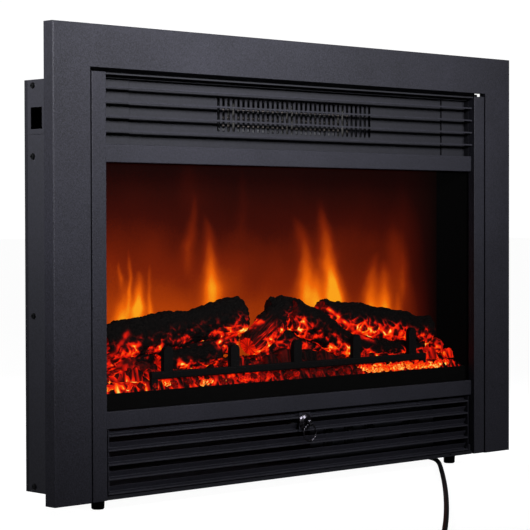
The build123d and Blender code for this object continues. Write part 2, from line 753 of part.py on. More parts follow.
louvre_back = face_y + 12.6
ledge_rise = 1.2
blade_rise = 7.6
top_blade_rise = 3.4
riser_slope = 0.6  # how far a riser leans forward for its height
with BuildPart() as control_door:
    for nose in louvre_noses:
        rise = top_blade_rise if nose == louvre_noses[-1] else blade_rise
        riser_lean = riser_slope * (rise - ledge_rise)
        with BuildSketch(section(-door_half + 0.5)):
            with BuildLine():
                FilletPolyline(
                    (nose_y, nose - 1.3),
                    (nose_y, nose),
                    (louvre_back, nose + ledge_rise),
                    (louvre_back - riser_lean, nose + rise),
                    radius=(0.6, 0.9),
                )
            trace(line_width=0.9)
        extrude(amount=2 * door_half - 1)
    for side in (-1, 1):
        end_x = sorted((side * door_half, side * (door_half - 1)))
        block(end_x, (face_y + 5.2, face_y + 13.6), (ground_gap + 5.3, door_top))
    block((-9, 9), (face_y + 4.7, face_y + 5.6), (ground_gap + 50.5, ground_gap + 72))
    rod((-door_half - 1, hinge_y, hinge_z), (1, 0, 0), pin_radius + running_gap, 4, Mode.SUBTRACT)
    rod((door_half - 3, hinge_y, hinge_z), (1, 0, 0), pin_radius + running_gap, 4, Mode.SUBTRACT)
save(control_door.part, "control_door")

with BuildPart() as door_hinge_pins:
    for side in (-1, 1):
        post_x = sorted((side * (door_half + 1.2), side * (door_half + 4.4)))
        block(post_x, (face_y + 5.6, face_y + 13), (casing_bottom + sheet, hinge_z + 3.6))
        rod((side * (door_half + 2), hinge_y, hinge_z), (-side, 0, 0), pin_radius, 4.5)
save(door_hinge_pins.part, "door_hinge_pins")

with BuildPart() as magnet_catch:
    block((-12, 12), (face_y + 14.2, face_y + 20.6), (ground_gap + 58, ground_gap + 67))
    block((-12, 12), (face_y + 20.6, face_y + 21.6), (ground_gap + 58, liner_bottom - sheet - touch))
save(magnet_catch.part, "magnet_catch")

# ---- turned pull boss on the door, with an eye for the ring
boss_z = ground_gap + 61.6
ring_y = face_y - pull_reach + 2.6
ring_top = ground_gap + 59.0
ring_radius = 9.7
ring_wire = 1.0
eye_half = 2.2
boss_plane = Plane(origin=(0, face_y, boss_z), x_dir=(1, 0, 0), z_dir=(0, 0, 1))

with BuildPart() as pull_boss:
    with BuildSketch(boss_plane):
        with BuildLine():
            Polyline(
                (4.0, -3.0), (4.3, -0.6), (5.2, 1.2), (8.2, 2.4), (9.5, 3.4), (9.5, 4.7), (0, 4.7), (0, -5.2)
            )
            ThreePointArc((0, -5.2), (2.7, -4.6), (4.0, -3.0))
        make_face()
    revolve(axis=Axis((0, face_y, boss_z), (0, 1, 0)))
    for side in (-1, 1):
        rod((side * eye_half, ring_y, ring_top), (side, 0, 0), 2.2, 4, Mode.SUBTRACT)
    rod((-eye_half, ring_y, ring_top), (1, 0, 0), 2.6, 2 * eye_half)
    rod((-8, ring_y, ring_top), (1, 0, 0), 1.45, 16, Mode.SUBTRACT)
save(pull_boss.part, "pull_boss")

with BuildPart() as ring_pull:
    with Locations(Plane(origin=(0, ring_y, ring_top - ring_radius), z_dir=(0, -1, 0)).location):
        Torus(ring_radius, ring_wire)
save(ring_pull.part, "ring_pull")

# ================================================================ mains lead
cord_radius = 2.8
cord_rest = cord_radius + 0.2  # height of the lead's middle where it lies on the floor
relief_end = rear_y + 34.0

with BuildPart() as cable_gland:
    rod((gland_x, rear_y - 5, gland_z), (0, 1, 0), gland_radius, 5)
    rod((gland_x, rear_y, gland_z), (0, 1, 0), 8.0, 3.0)
    with Locations(Plane(origin=(gland_x, rear_y + 3, gland_z), z_dir=(0, 1, 0)).location):
        Cone(5.6, 3.5, relief_end - rear_y - 3, align=(Align.CENTER, Align.CENTER, Align.MIN))
save(cable_gland.part, "cable_gland")

cord_points = [
    (288, relief_end, gland_z),
    (288, 120, gland_z),
    (289.5, 146, 60),
    (291, 149, 27),
    (292, 129, cord_rest),
    (293, 93, cord_rest),
    (294, 52, cord_rest),
    (288, 12, cord_rest),
    (262, -21, cord_rest),
    (207, -73, cord_rest),
    (150.6, -125.4, cord_rest),
    (93.5, -177.6, cord_rest),
    (35.6, -229.4, cord_rest),
    (-22.2, -280.2, cord_rest),
    (-79.5, -329.6, cord_rest),
    (-137, -377.8, cord_rest),
    (-191.1, -422.1, cord_rest),
    (-230.2, -453.3, cord_rest),
]


def bend_radii(points):
    """Largest arc that each corner's two runs allow."""
    radii = []
    corners = [Vector(*point) for point in points]
    for before, corner, after in zip(corners, corners[1:], corners[2:]):
        run_in = corner - before
        run_out = after - corner
        half_turn = radians(run_in.get_angle(run_out)) / 2
        radii.append(0.45 * min(run_in.length, run_out.length) / tan(half_turn))
    return radii


def cord_tube(points):
    """Solid lead along straight runs joined by tangent arcs, and its length."""
    with BuildPart() as tube:
        with BuildLine() as path:
            FilletPolyline(*points, radius=bend_radii(points))
        run = Vector(*points[1]) - Vector(*points[0])
        with BuildSketch(Plane(origin=points[0], z_dir=run.normalized())):
            Circle(cord_radius)
        sweep(path=path.line)
    return tube.part, sum(edge.length for edge in path.edges())


power_cord, tube_length = cord_tube(cord_points)
save(power_cord, "power_cord")
print("cord bend radii", [round(radius, 1) for radius in bend_radii(cord_points)])
volume_ratio = power_cord.volume / (pi * cord_radius**2 * tube_length)
print("cord tube", round(tube_length, 1), "mm, volume over section times length", round(volume_ratio, 4))

# ---- the rest of the lead is wound in a round coil lying just past the tube's end
turn_radii = (24.6, 30.4, 36.2, 33.3)
coil_reach = turn_radii[2]
lead_in = Vector(*cord_points[-1])
heading = (lead_in - Vector(*cord_points[-2])).normalized()
to_centre = Vector(0, 0, 1).cross(heading)
entry_run = 24.0
coil_centre = lead_in + heading * entry_run + to_centre * coil_reach
coil_top = cord_rest + 2 * cord_radius + 2.3
away = Vector(0.86, -0.51, 0).normalized()
exit_side = away.cross(Vector(0, 0, 1))
exit_start = coil_centre + exit_side * coil_reach
plug_z = 11.0
exit_level = Vector(0, 0, 2 * cord_radius)
plug_level = Vector(0, 0, plug_z - cord_rest)
exit_points = [
    exit_start + exit_level,
    exit_start + away * 16 + exit_level + Vector(0, 0, 0.8),
    exit_start + away * 38 + plug_level,
    exit_start + away * 54 + plug_level,
]

with BuildPart() as cord_coil:
    with Locations((coil_centre.X, coil_centre.Y, 0.2)):
        Cylinder(coil_reach + 3.1, coil_top - 0.2, align=(Align.CENTER, Align.CENTER, Align.MIN))
        Cylinder(turn_radii[0] - 3.1, 3 * coil_top, mode=Mode.SUBTRACT)
    rims = cord_coil.edges().filter_by(GeomType.CIRCLE).group_by(Axis.Z)[-1]
    fillet(rims, radius=2.6)
    rod(tuple(lead_in), tuple(heading), cord_radius, entry_run)
    exit_lead, exit_length = cord_tube([tuple(point) for point in exit_points])
    add(exit_lead)
save(cord_coil.part, "cord_coil")
coil_length = entry_run + exit_length + 2 * pi * sum(turn_radii)
print("coil centre", coil_centre, "exit", [tuple(point) for point in exit_points])
print("cord length", round(tube_length + coil_length, 1), "of which coil", round(coil_length, 1))

plug_plane = Plane(origin=exit_points[-1], x_dir=away.cross(Vector(0, 0, 1)), z_dir=away)
relief_length = 20.0
grip_length = 30.0
with BuildPart() as plug:
    with BuildSketch(plug_plane):
        Circle(3.5)
    with BuildSketch(plug_plane.offset(relief_length)):
        Circle(5.4)
    loft()
    with BuildSketch(plug_plane.offset(relief_length)):
        RectangleRounded(16, 15, 4)
    with BuildSketch(plug_plane.offset(relief_length + grip_length)):
        RectangleRounded(26, 21.6, 5)
    loft()
save(plug.part, "plug")

with BuildPart() as plug_pins:
    pin_face = plug_plane.offset(relief_length + grip_length)
    for dx in (-6.35, 6.35):
        with Locations(pin_face.location * Location((dx, 3.5, 8.5))):
            Box(1.5, 6.4, 17)
    with Locations(pin_face.location * Location((0, -6.5, 9.5))):
        Cylinder(2.4, 19)
save(plug_pins.part, "plug_pins")
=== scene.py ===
import math
import random

import bmesh
import bpy
from mathutils import Matrix, Vector, noise


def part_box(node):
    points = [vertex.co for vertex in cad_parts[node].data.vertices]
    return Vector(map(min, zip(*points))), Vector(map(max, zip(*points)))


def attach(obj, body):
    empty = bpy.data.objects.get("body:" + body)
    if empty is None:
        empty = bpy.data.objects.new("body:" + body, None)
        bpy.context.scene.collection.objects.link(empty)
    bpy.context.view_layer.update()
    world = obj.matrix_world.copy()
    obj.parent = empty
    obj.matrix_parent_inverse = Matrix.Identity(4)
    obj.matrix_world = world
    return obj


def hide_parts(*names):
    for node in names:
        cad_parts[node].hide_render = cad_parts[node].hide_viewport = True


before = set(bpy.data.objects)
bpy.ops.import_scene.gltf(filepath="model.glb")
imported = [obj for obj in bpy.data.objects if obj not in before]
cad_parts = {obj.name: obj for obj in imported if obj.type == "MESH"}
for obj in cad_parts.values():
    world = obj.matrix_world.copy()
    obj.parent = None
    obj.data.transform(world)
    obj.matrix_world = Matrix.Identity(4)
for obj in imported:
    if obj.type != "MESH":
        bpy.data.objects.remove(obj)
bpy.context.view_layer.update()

noise.seed_set(5)  # noise_vector takes its offsets from this seed, and from the clock where none is set

# Looks for the electric fireplace insert. Metres; X to the right, Y to the back, Z up from the floor.

MM = 0.001
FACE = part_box("surround_frame")[0].y  # the surround's front face
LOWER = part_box("surround_frame")[0].z  # the surround's lower edge
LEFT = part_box("surround_frame")[0].x  # the surround's left edge


# ---------------------------------------------------------------- camera and studio
CAMERA_PLACE = (-1.5644, -1.6187, 0.3006)
CAMERA_TURN = (88.77, 0.116, -43.71)  # degrees
CAMERA_LENS = 132.0
SENSOR_WIDTH = 36.0

ROOM_LIGHT = 0.034  # strength of the surroundings as the object meets them
BACKDROP = 1.05  # and as the camera sees them
FLOOR_GLOW = 0.97
COOL = (0.94, 0.955, 1.0)
# name, place, aim, size, power in watts, spread in degrees
LIGHTS = [
    ("key", (-0.50, -1.45, 0.98), (-0.24, 0.0, 0.59), (0.5, 0.35), 5.6, 46.0),
    ("right", (0.55, -1.40, 0.92), (0.24, 0.0, 0.50), (0.5, 0.35), 2.5, 54.0),
    ("side", (-1.45, 0.20, 0.92), (-0.34, 0.03, 0.52), (0.4, 0.4), 2.6, 44.0),
    ("rear", (0.90, 1.90, 1.15), (0.05, 0.06, 0.28), (1.0, 0.8), 16.0, 70.0),
]


def place_camera():
    data = bpy.data.cameras.new("camera")
    data.sensor_width = SENSOR_WIDTH
    data.lens = CAMERA_LENS
    data.clip_start = 0.05
    camera = bpy.data.objects.new("camera", data)
    camera.location = CAMERA_PLACE
    camera.rotation_euler = [math.radians(angle) for angle in CAMERA_TURN]
    bpy.context.collection.objects.link(camera)
    bpy.context.scene.camera = camera


def area_light(name, place, aim, size, power, spread):
    data = bpy.data.lights.new(name, "AREA")
    data.shape = "RECTANGLE"
    data.size, data.size_y = size
    data.energy = power
    data.color = COOL
    data.spread = math.radians(spread)
    lamp = bpy.data.objects.new(name, data)
    lamp.location = place
    lamp.rotation_euler = (Vector(aim) - Vector(place)).to_track_quat("-Z", "Y").to_euler()
    bpy.context.collection.objects.link(lamp)


def seen_or_lit(tree, seen, lit):
    """Shader that is `seen` where the camera looks straight at it and `lit` for every other ray."""
    path = tree.nodes.new("ShaderNodeLightPath")
    mix = tree.nodes.new("ShaderNodeMixShader")
    tree.links.new(path.outputs["Is Camera Ray"], mix.inputs["Fac"])
    tree.links.new(lit, mix.inputs[1])
    tree.links.new(seen, mix.inputs[2])
    return mix.outputs[0]


def build_world():
    world = bpy.data.worlds.new("studio")
    world.use_nodes = True
    tree = world.node_tree
    soft = tree.nodes["Background"]
    soft.inputs["Color"].default_value = (0.93, 0.95, 1.0, 1.0)
    soft.inputs["Strength"].default_value = ROOM_LIGHT
    white = tree.nodes.new("ShaderNodeBackground")
    white.inputs["Color"].default_value = (1.0, 1.0, 1.0, 1.0)
    white.inputs["Strength"].default_value = BACKDROP
    both = seen_or_lit(tree, white.outputs[0], soft.outputs[0])
    tree.links.new(both, tree.nodes["World Output"].inputs["Surface"])
    bpy.context.scene.world = world
    bpy.context.scene.view_settings.view_transform = "Standard"


def build_floor():
    mesh = bpy.data.meshes.new("floor")
    half = 30.0
    corners = [(-half, -half, 0), (half, -half, 0), (half, half, 0), (-half, half, 0)]
    mesh.from_pydata(corners, [], [(0, 1, 2, 3)])
    floor = bpy.data.objects.new("floor", mesh)
    bpy.context.collection.objects.link(floor)
    paint = bpy.data.materials.new("floor")
    paint.use_nodes = True
    tree = paint.node_tree
    pale = tree.nodes["Principled BSDF"]
    pale.inputs["Base Color"].default_value = (0.13, 0.13, 0.13, 1.0)
    pale.inputs["Roughness"].default_value = 0.9
    pale.inputs["Specular IOR Level"].default_value = 0.0
    glow = tree.nodes.new("ShaderNodeEmission")
    glow.inputs["Color"].default_value = (1.0, 1.0, 1.0, 1.0)
    glow.inputs["Strength"].default_value = FLOOR_GLOW
    bright = tree.nodes.new("ShaderNodeAddShader")
    tree.links.new(pale.outputs[0], bright.inputs[0])
    tree.links.new(glow.outputs[0], bright.inputs[1])
    both = seen_or_lit(tree, bright.outputs[0], pale.outputs[0])
    tree.links.new(both, tree.nodes["Material Output"].inputs["Surface"])
    mesh.materials.append(paint)


place_camera()
build_world()
build_floor()
for light in LIGHTS:
    area_light(*light)

# ---------------------------------------------------------------- mains lead
CORD = 2.8 * MM  # the lead's radius
REST = CORD + 0.2 * MM  # height of the lead's middle on the floor
COIL_OUTER = 36.2 * MM  # radius of the coil's first turn, at the lead's middle
COIL_INNER = 25.2 * MM  # radius at which the upper turns begin
COIL_TURNS = 4
LOWER_TURNS = 2.0
CLIMB_TURNS = 0.35
LOWER_PITCH = 5.8 * MM
UPPER_PITCH = 5.6 * MM
PER_TURN = 16  # points for each turn
COIL_GAP = 24  # mm along the lead from its last laid point to the coil
# the route of the part's own lead, in millimetres
cord_route = [
    (288, 92, 84),
    (288, 120, 84),
    (289.5, 146, 60),
    (291, 149, 27),
    (292, 129, 3),
    (293, 93, 3),
    (294, 52, 3),
    (288, 12, 3),
    (262, -21, 3),
    (207, -73, 3),
    (150.6, -125.4, 3),
    (93.5, -177.6, 3),
    (35.6, -229.4, 3),
    (-22.2, -280.2, 3),
    (-79.5, -329.6, 3),
    (-137, -377.8, 3),
    (-191.1, -422.1, 3),
    (-230.2, -453.3, 3),
]


def coil_points(start, heading, leave_towards):
    """The lead's put-away turns: a flat spiral inward on the floor, then one outward on top of it."""
    pull_in = math.cos(math.pi / PER_TURN) ** 0.5  # the line runs inside its points by this much
    to_centre = Vector((0, 0, 1)).cross(heading)
    centre = start + heading * COIL_GAP * MM + to_centre * COIL_OUTER
    first = math.atan2(-to_centre.y, -to_centre.x)
    exit_side = leave_towards.cross(Vector((0, 0, 1)))
    last = math.atan2(exit_side.y, exit_side.x)
    whole = COIL_TURNS * 2 * math.pi + (last - first) % (2 * math.pi)
    steps = round(whole / (2 * math.pi) * PER_TURN)
    points = []
    for step in range(steps + 1):
        turn = step / PER_TURN
        climb = min(max((turn - LOWER_TURNS) / CLIMB_TURNS, 0), 1)
        inward = COIL_OUTER - LOWER_PITCH * min(turn, LOWER_TURNS)
        outward = COIL_INNER + UPPER_PITCH * max(turn - LOWER_TURNS - CLIMB_TURNS, 0)
        radius = inward + (outward - inward) * climb
        angle = first + whole * step / steps
        level = REST + 2 * CORD * climb
        spoke = Vector((math.cos(angle), math.sin(angle), 0))
        points.append(centre + spoke * radius / pull_in + Vector((0, 0, level)))
    return centre, points


def build_lead():
    route = [Vector(point) * MM for point in cord_route]
    heading = (route[-1] - route[-2]).normalized()
    away = Vector((0.86, -0.51, 0)).normalized()
    flat_start = Vector((route[-1].x, route[-1].y, 0))
    centre, turns = coil_points(flat_start, heading, away)
    coil_end = centre + away.cross(Vector((0, 0, 1))) * COIL_OUTER
    leaving = []
    for along, height in ((16, 9.4), (38, 11), (54, 11)):  # from the coil to the plug, in millimetres
        leaving.append(coil_end + away * along * MM + Vector((0, 0, height * MM)))
    points = route + turns + leaving
    data = bpy.data.curves.new("power_lead", "CURVE")
    data.dimensions = "3D"
    spline = data.splines.new("NURBS")
    spline.points.add(len(points) - 1)
    for place, control in zip(points, spline.points):
        control.co = (*place, 1.0)
        control.radius = CORD
    spline.order_u = 3
    spline.use_endpoint_u = True
    spline.resolution_u = 6
    data.bevel_depth = 1.0  # times each point's radius, so that the curve's own box fits the lead
    data.bevel_resolution = 5
    data.use_fill_caps = True
    lead = bpy.data.objects.new("power_lead", data)
    bpy.context.collection.objects.link(lead)
    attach(lead, "casing")
    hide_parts("power_cord", "cord_coil")
    return lead


lead = build_lead()


# ---------------------------------------------------------------- materials
def new_material(name):
    """A node material that is still plain, with its tree, its shader and its object coordinates."""
    made = bpy.data.materials.new(name)
    made.use_nodes = True
    tree = made.node_tree
    shader = tree.nodes["Principled BSDF"]
    place = tree.nodes.new("ShaderNodeTexCoord")
    return made, tree, shader, place.outputs["Object"]


def noise_node(tree, where, scale, detail=3.0, roughness=0.55, stretch=None):
    node = tree.nodes.new("ShaderNodeTexNoise")
    node.inputs["Scale"].default_value = scale
    node.inputs["Detail"].default_value = detail
    node.inputs["Roughness"].default_value = roughness
    if stretch:
        mapping = tree.nodes.new("ShaderNodeMapping")
        mapping.inputs["Scale"].default_value = stretch
        tree.links.new(where, mapping.inputs["Vector"])
        where = mapping.outputs["Vector"]
    tree.links.new(where, node.inputs["Vector"])
    return node.outputs["Fac"]


def ramp_node(tree, value, stops):
    node = tree.nodes.new("ShaderNodeValToRGB")
    ramp = node.color_ramp
    while len(ramp.elements) < len(stops):
        ramp.elements.new(0.5)
    for element, (position, colour) in zip(ramp.elements, stops):
        element.position = position
        element.color = (*colour, 1.0)
    tree.links.new(value, node.inputs["Fac"])
    return node.outputs["Color"]


def range_node(tree, value, low, high, out_low, out_high):
    node = tree.nodes.new("ShaderNodeMapRange")
    keys = ("From Min", "From Max", "To Min", "To Max")
    for key, number in zip(keys, (low, high, out_low, out_high)):
        node.inputs[key].default_value = number
    tree.links.new(value, node.inputs["Value"])
    return node.outputs["Result"]


def math_node(tree, operation, *values, clamp=False):
    node = tree.nodes.new("ShaderNodeMath")
    node.operation = operation
    node.use_clamp = clamp
    for socket, value in zip(node.inputs, values):
        if isinstance(value, (int, float)):
            socket.default_value = value
        else:
            tree.links.new(value, socket)
    return node.outputs[0]


def add_bump(tree, shader, height, strength, distance):
    bump = tree.nodes.new("ShaderNodeBump")
    bump.inputs["Strength"].default_value = strength
    bump.inputs["Distance"].default_value = distance
    tree.links.new(height, bump.inputs["Height"])
    tree.links.new(bump.outputs["Normal"], shader.inputs["Normal"])


RELIEF_DEPTH = 0.3 * MM


def surface(
    name, colour, roughness, metallic=0.0, specular=0.5, grain=900.0, contrast=0.25, relief=0.15, stretch=None
):
    """Solid surface with a fine grain in its colour, roughness and relief."""
    made, tree, shader, where = new_material(name)
    fine = noise_node(tree, where, grain, 4.0, 0.6, stretch)
    broad = noise_node(tree, where, 9.0, 3.0)
    mixed = math_node(tree, "MULTIPLY_ADD", broad, 0.35, fine)
    dark = tuple(channel * (1 - contrast) for channel in colour)
    light = tuple(min(channel * (1 + contrast), 1.0) for channel in colour)
    tree.links.new(ramp_node(tree, mixed, [(0.45, dark), (0.9, light)]), shader.inputs["Base Color"])
    sheen = range_node(tree, mixed, 0.4, 0.95, roughness + 0.05, roughness - 0.05)
    tree.links.new(sheen, shader.inputs["Roughness"])
    shader.inputs["Metallic"].default_value = metallic
    shader.inputs["Specular IOR Level"].default_value = specular
    add_bump(tree, shader, fine, relief, RELIEF_DEPTH)
    return made


powder = surface(
    "charcoal_powder", (0.0133, 0.0129, 0.0175), 0.48, specular=0.2, grain=620, contrast=0.6, relief=0.6
)
steel = surface(
    "black_steel", (0.0110, 0.0108, 0.0137), 0.45, specular=0.2, grain=420, contrast=0.3, relief=0.2
)
# a lighter copy of black_steel with a stronger sheen, for the casing's side walls only: painted light for the
# light that falls on the sides
side_steel_painted_light = surface(
    "side_steel_painted_light", (0.0178, 0.0175, 0.0222), 0.45, specular=0.32, grain=420, contrast=0.3, relief=0.2
)
# near-black, far darker than the black steel, for the firebox liner, hearth lip and flame stencil
firebox_black = surface("firebox_near_black", (0.0011, 0.0010, 0.0009), 0.8, specular=0.02, grain=300)
rubber = surface("black_rubber", (0.006, 0.006, 0.006), 0.7, specular=0.25, grain=700)
screw = surface("black_screw", (0.03, 0.03, 0.032), 0.35, metallic=0.9, grain=900)
gunmetal = surface("gunmetal", (0.07, 0.065, 0.075), 0.26, metallic=1.0, grain=500, relief=0.05)
cast_iron = surface(
    "cast_iron", (0.0014, 0.0012, 0.0012), 0.7, specular=0.05, grain=420, contrast=0.4, relief=0.8
)
# the inner zinc, foil and mica are painted far darker than the real metal and mica: painted shade for their
# place inside the casing
dimmed_zinc = surface("zinc_painted_shade", (0.14, 0.14, 0.15), 0.48, metallic=1.0, grain=60, contrast=0.15, relief=0.05)
dimmed_foil = surface(
    "foil_painted_shade", (0.20, 0.20, 0.21), 0.42, metallic=1.0, grain=120, contrast=0.08, stretch=(1, 8, 8)
)
dimmed_mica = surface("mica_painted_shade", (0.15, 0.145, 0.135), 0.6, grain=260, contrast=0.12)
plastic = surface("matt_plastic", (0.012, 0.012, 0.013), 0.45, specular=0.4, grain=800, relief=0.3)
gloss = surface("gloss_plastic", (0.010, 0.010, 0.011), 0.18, grain=300, relief=0.02)
board = surface("circuit_board", (0.02, 0.16, 0.06), 0.35, grain=240, contrast=0.35)
brass = surface("pin_brass", (0.72, 0.55, 0.24), 0.25, metallic=1.0, grain=400, contrast=0.08)
wire = surface("heater_wire", (0.30, 0.26, 0.24), 0.4, metallic=1.0, grain=500)
lead_rubber = surface("lead_rubber", (0.007, 0.007, 0.008), 0.5, specular=0.4, grain=500, relief=0.1)


def clear_glass():
    made, tree, shader, where = new_material("clear_glass")
    smear = noise_node(tree, where, 6.0, 4.0)
    tree.links.new(range_node(tree, smear, 0.3, 0.8, 0.02, 0.06), shader.inputs["Roughness"])
    shader.inputs["Base Color"].default_value = (0.02, 0.02, 0.02, 1.0)
    shader.inputs["Alpha"].default_value = 0.02
    shader.inputs["Specular IOR Level"].default_value = 0.05
    return made


glass = clear_glass()

node_looks = {
    powder: ["surround_frame", "trim_channel_left", "trim_channel_right", "middle_bar", "lower_bar",
             "grille_blades", "control_door"],
    steel: ["frame_brackets", "top_header", "outlet_panel", "outlet_cheeks", "top_panel", "base_plate",
            "rear_cover", "door_hinge_pins", "control_panel"],
    side_steel_painted_light: ["side_wall_left", "side_wall_right"],
    firebox_black: ["firebox_liner", "hearth_lip", "flame_stencil"],
    rubber: ["feet"],
    screw: ["casing_screws"],
    gunmetal: ["pull_boss", "ring_pull"],
    cast_iron: ["fire_grate"],
    glass: ["glass_pane"],
    dimmed_zinc: ["spindle_shaft", "spindle_brackets", "spindle_motor", "heater_shelf", "blower_housing",
           "blower_motor"],
    dimmed_foil: ["spindle_petals", "blower_impeller"],
    dimmed_mica: ["mica_plates", "spindle_bushes"],
    plastic: ["thermal_cutout", "rocker_housings", "thermostat_knob", "magnet_catch"],
    gloss: ["rocker_key_1", "rocker_key_2", "rocker_key_3"],
    board: ["led_boards", "control_board"],
    wire: ["heating_coil"],
    lead_rubber: ["cable_gland", "plug"],
    brass: ["plug_pins"],
}


def dress(piece, look):
    piece.data.materials.clear()
    piece.data.materials.append(look)


for look, names in node_looks.items():
    for name in names:
        dress(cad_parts[name], look)
dress(lead, lead_rubber)


# ---------------------------------------------------------------- logs, embers and their glow
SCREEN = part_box("flame_screen")[0].y - 0.7 * MM  # nothing lies further back than this
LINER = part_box("firebox_liner")[0].z
LOG_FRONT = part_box("fire_grate")[1].y + 1.4 * MM  # logs and tall coals stay behind the grate


def spot(x, y, z):
    """A place given in millimetres from the surround's left edge, front face and lower edge."""
    return Vector((LEFT + x * MM, FACE + y * MM, LOWER + z * MM))


def between(value, stops):
    """The value read off a line drawn through (position, height) stops."""
    for (low, first), (high, second) in zip(stops, stops[1:]):
        if value <= high:
            share = min(max((value - low) / (high - low), 0.0), 1.0)
            return first + (second - first) * share
    return stops[-1][1]


def soft_step(value, low, high):
    t = min(max((value - low) / (high - low), 0.0), 1.0)
    return t * t * (3 - 2 * t)


def near_line(point, start, end):
    """Distance in millimetres, seen from the front, from a point to a line between two (x, z) places."""
    x, z = (point.x - LEFT) / MM, (point.z - LOWER) / MM
    run_x, run_z = end[0] - start[0], end[1] - start[1]
    share = ((x - start[0]) * run_x + (z - start[1]) * run_z) / (run_x * run_x + run_z * run_z)
    share = min(max(share, 0.0), 1.0)
    return math.hypot(x - start[0] - share * run_x, z - start[1] - share * run_z)


# glowing seams where one log lies against another: (x, z) at both ends, half width, heat
seams = [
    ((247, 151), (319, 177), 3.4, 0.95),
    ((425, 188), (470, 160), 3.2, 0.85),
    ((470, 160), (500, 148), 4.0, 0.80),
    ((97, 150), (120, 172), 4.0, 0.62),
]


def char_cracks(point, seed, along):
    """How deep in a crack of charred bark a point is, 0 to 1; the plates between are longer along the log."""
    place = point / MM
    place -= along * place.dot(along) * 0.30
    bend = noise.noise_vector(place * 0.045 + Vector((seed, 0, 0)))
    distances = noise.voronoi(place * 0.112 + bend * 0.9 + Vector((0, seed * 3.1, 0)))[0]
    finer = noise.voronoi(place * 0.23 + bend * 1.4 + Vector((seed * 1.7, 0, 9)))[0]
    wide = 1 - soft_step(distances[1] - distances[0], 0.0, 0.32)
    thin = 1 - soft_step(finer[1] - finer[0], 0.0, 0.22)
    return max(wide, 0.25 * thin)


def log_heat(point, crack, height, seed, vigour):
    """Heat of charred wood: black on top, a net of glowing cracks lower down, strongest underneath."""
    place = point / MM
    patch = noise.fractal(place * 0.030 + Vector((seed, 5, 1)), 0.7, 2.0, 3)
    spotty = noise.fractal(place * 0.12 + Vector((9, seed, 3)), 0.6, 2.0, 3)
    low = soft_step(0.80 - height, 0.0, 0.55)
    heat = crack * low * (0.52 + 0.9 * patch + 0.8 * spotty) * vigour
    heat += 0.34 * vigour * soft_step(0.62 - height, 0.0, 0.50) * (0.62 + 1.2 * patch + 0.8 * spotty)
    heat = min(heat, 0.60 + 0.45 * max(heat - 0.60, 0.0))  # bark glows red; seams and coals get hotter
    for start, end, half, strength in seams:
        off = near_line(point, start, end) / half
        if off < 2.5:
            ragged = 0.75 + 0.6 * noise.noise(place * 0.16)
            heat = max(heat, strength * ragged * math.exp(-off * off))
    return min(max(heat, 0.0), 1.0)


def keep_inside(point):
    """Holds a point clear of the flame screen and the grate."""
    point.y = min(max(point.y, LOG_FRONT + 0.1 * MM), SCREEN)
    return point


def finish_fire_piece(name, places, faces, heats, replaced):
    mesh = bpy.data.meshes.new(name)
    mesh.from_pydata([tuple(place) for place in places], [], faces)
    mesh.validate()
    shape = bmesh.new()
    shape.from_mesh(mesh)
    bmesh.ops.recalc_face_normals(shape, faces=shape.faces[:])
    shape.to_mesh(mesh)
    shape.free()
    mesh.shade_smooth()
    layer = mesh.attributes.new("ember_glow", "FLOAT", "POINT")
    layer.data.foreach_set("value", heats)
    piece = bpy.data.objects.new(name, mesh)
    bpy.context.collection.objects.link(piece)
    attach(piece, "casing")
    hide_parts(replaced)
    return piece


BARK_PITCH = 1.35 * MM  # between rings of points along a log
BARK_AROUND = 84  # points round a log
CAP_STEPS = 9  # rings across each end


def bark_shift(skin, along, crack, seed):
    """How far the bark stands out of a bar's plain taper: lumps, knots, furrows and cracks."""
    place = skin / MM
    lump = noise.noise(place * 0.035 + Vector((seed, 0, 7)))
    knot = noise.noise(place * 0.085 + Vector((seed, 4, 2)))
    across_grain = place - along * place.dot(along) * 0.86
    furrow = abs(noise.noise(across_grain * 0.22 + Vector((seed, 3, 0))))
    return (3.6 * lump + 1.6 * knot - 0.9 - 1.5 * crack - (1 - 3 * min(furrow, 0.33))) * MM


